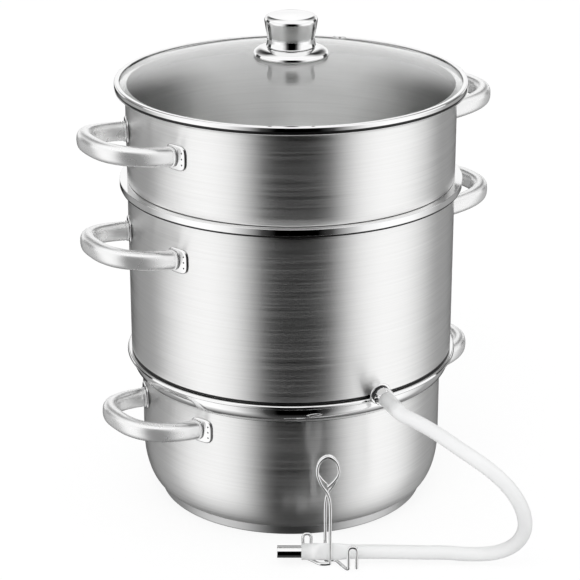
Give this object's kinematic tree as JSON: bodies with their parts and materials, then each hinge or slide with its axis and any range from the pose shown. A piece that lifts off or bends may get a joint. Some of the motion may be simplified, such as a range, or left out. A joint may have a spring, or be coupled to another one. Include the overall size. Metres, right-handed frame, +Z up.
{
  "type": "steam juicer",
  "caption": "Stacked stove-top steam juicer: water pan, juice kettle with drain hose and wire clamp, perforated basket and glass lid.",
  "frame": {"origin": "centre of the flat underside of the pan's base", "axes": "+Z up the stack, the handles along X, the spout along -Y"},
  "size_m": [0.3594, 0.401, 0.3986],
  "materials": {
    "steel_satin": "brushed round the circumference",
    "steel_polished": "mirror polished stainless steel",
    "aluminium": "rolled",
    "glass": "clear tempered",
    "silicone_clear": "translucent satin",
    "silicone_dark": "satin"
  },
  "bodies": {
    "pan": {"base_cap": "steel_polished", "base_core": "aluminium", "pan_body": "steel_satin", "pan_bracket_left_back": "steel_polished", "pan_bracket_left_front": "steel_polished", "pan_bracket_right_back": "steel_polished", "pan_bracket_right_front": "steel_polished", "pan_handle_left": "steel_polished", "pan_handle_right": "steel_polished"},
    "kettle": {"clamp_front": "steel_polished", "hose": "silicone_clear", "hose_cuff_end": "silicone_clear", "hose_cuff_spout": "silicone_clear", "hose_end_tube": "steel_polished", "hose_pinch": "silicone_clear", "kettle_body": "steel_satin", "kettle_bracket_left_back": "steel_polished", "kettle_bracket_left_front": "steel_polished", "kettle_bracket_right_back": "steel_polished", "kettle_bracket_right_front": "steel_polished", "kettle_handle_left": "steel_polished", "kettle_handle_right": "steel_polished", "spout_flange": "steel_polished", "spout_nut": "steel_polished", "spout_seal": "silicone_dark", "spout_tube": "steel_polished", "steam_funnel": "steel_satin"},
    "basket": {"basket_body": "steel_satin", "basket_bracket_left_back": "steel_polished", "basket_bracket_left_front": "steel_polished", "basket_bracket_right_back": "steel_polished", "basket_bracket_right_front": "steel_polished", "basket_handle_left": "steel_polished", "basket_handle_right": "steel_polished"},
    "lid": {"knob": "steel_polished", "knob_base": "steel_polished", "knob_screw": "steel_polished", "knob_washer": "silicone_clear", "lid_glass": "glass", "lid_rim": "steel_polished", "vent_eyelet": "steel_polished"},
    "clamp_arm": {"clamp_rear": "steel_polished"}
  },
  "joints": [
    {"name": "kettle_lift", "type": "slide", "parent": "pan", "child": "kettle", "axis": [0, 0, 1], "range_m": [0, 0.04]},
    {"name": "basket_lift", "type": "slide", "parent": "kettle", "child": "basket", "axis": [0, 0, 1], "range_m": [0, 0.09]},
    {"name": "lid_lift", "type": "slide", "parent": "basket", "child": "lid", "axis": [0, 0, 1], "range_m": [0, 0.06]},
    {"name": "clamp_squeeze", "type": "hinge", "parent": "kettle", "child": "clamp_arm", "pos_m": [-0.054, -0.1501, 0.0925], "axis": [0.866, -0.5, 0], "range_deg": [0, 4], "stiffness_Nm_per_rad": 1}
  ]
}
